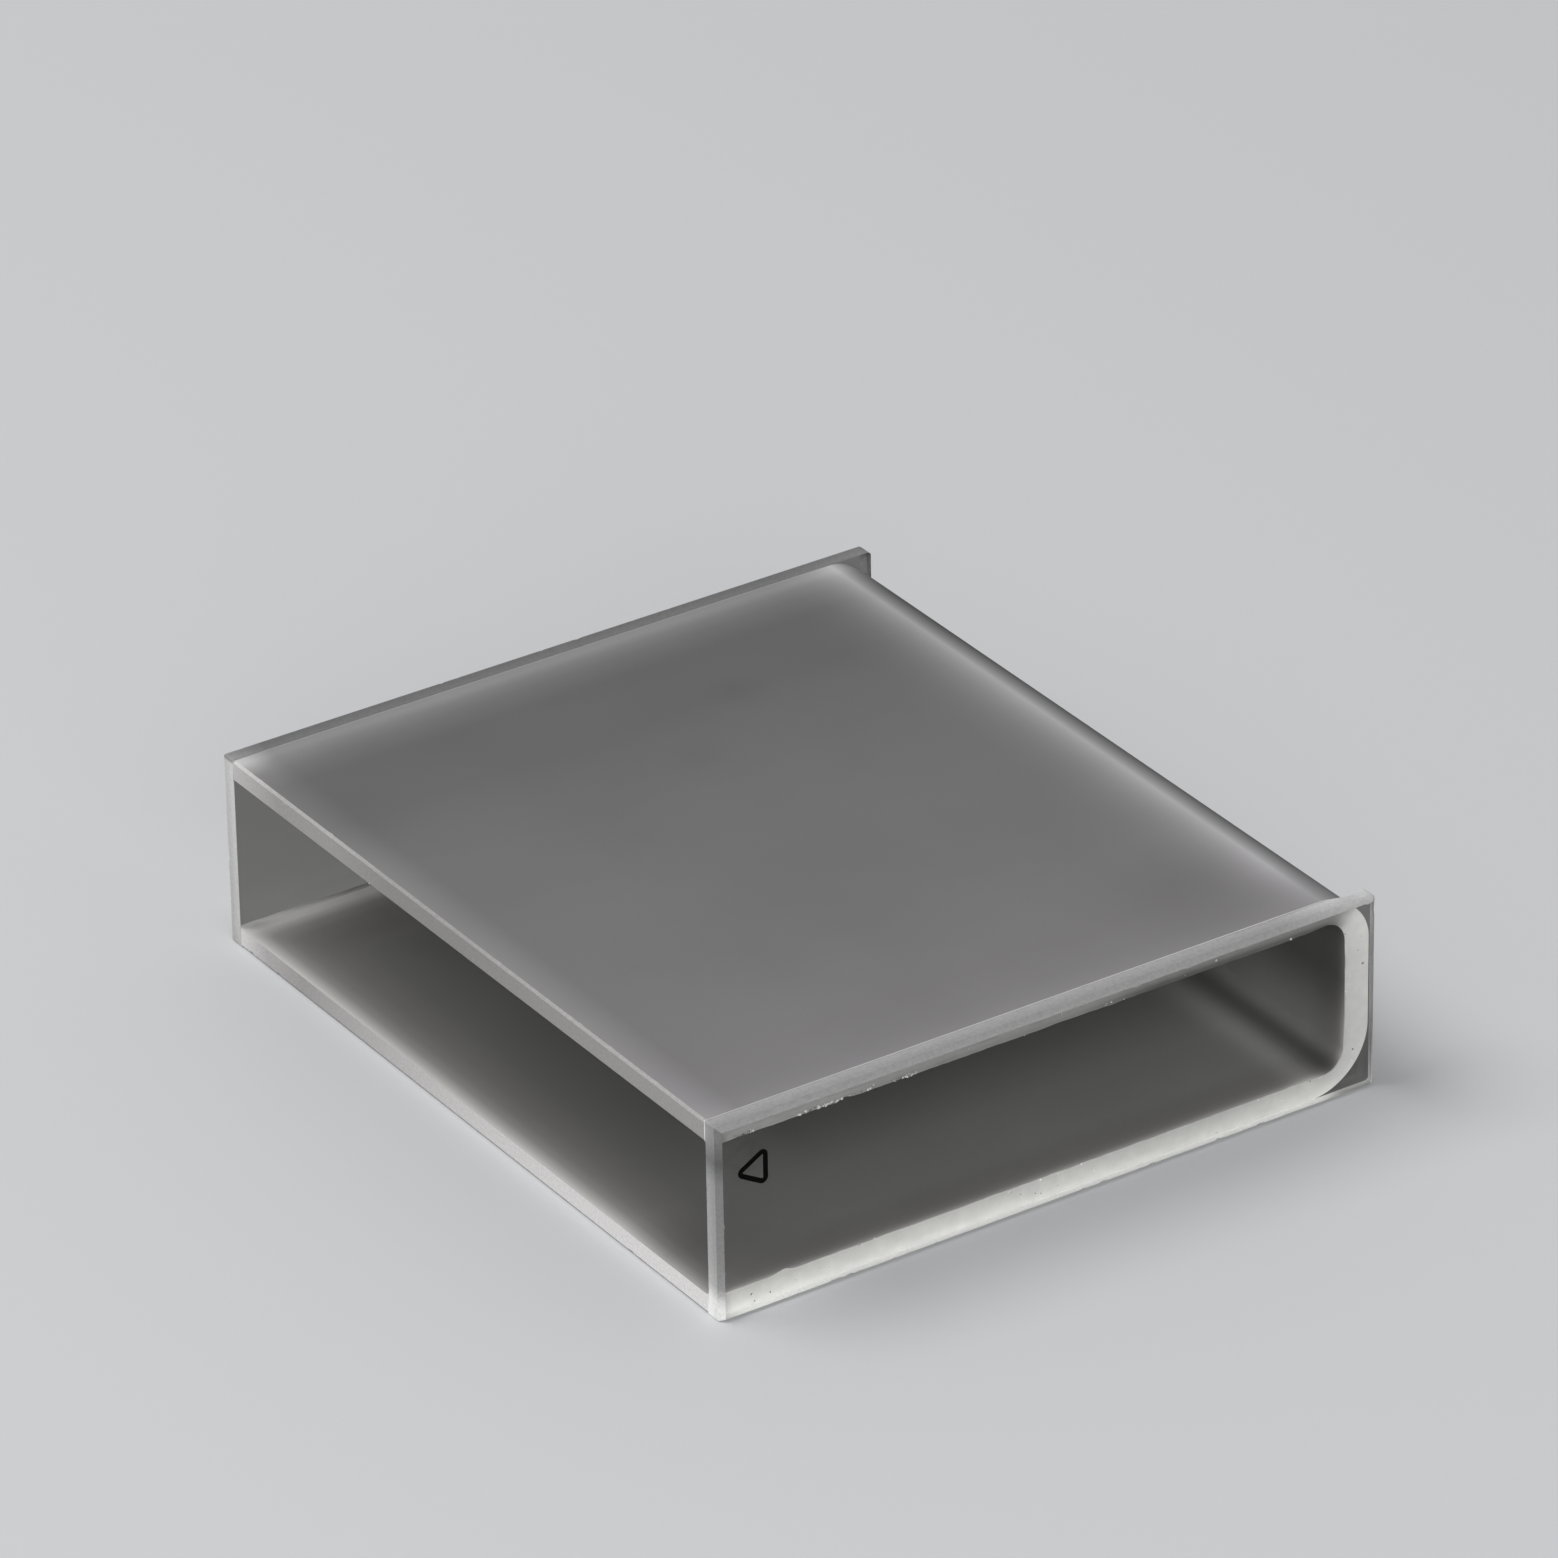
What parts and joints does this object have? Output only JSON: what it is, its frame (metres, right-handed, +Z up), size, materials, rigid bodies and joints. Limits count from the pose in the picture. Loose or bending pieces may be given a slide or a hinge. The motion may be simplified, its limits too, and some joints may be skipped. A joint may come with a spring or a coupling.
{
  "type": "cuvette",
  "caption": "Rectangular optical cell: a frosted channel bent to a U, closed by polished windows fused across the light path, open at one end for a liquid sample.",
  "frame": {"origin": "middle of the footprint, on the surface the cell lies on", "axes": "+X from the open mouth to the closed end, +Y along the light path from the front window to the rear window, +Z up across the narrow width"},
  "size_m": [0.045, 0.0524, 0.0125],
  "materials": {
    "frosted_quartz": "ground matte",
    "clear_quartz": "optically polished faces with ground edges",
    "sealing_glass": "fused, milky"
  },
  "bodies": {
    "root": {"channel": "frosted_quartz", "front_window": "clear_quartz", "rear_window": "clear_quartz", "front_seam": "sealing_glass", "rear_seam": "sealing_glass"}
  },
  "joints": []
}
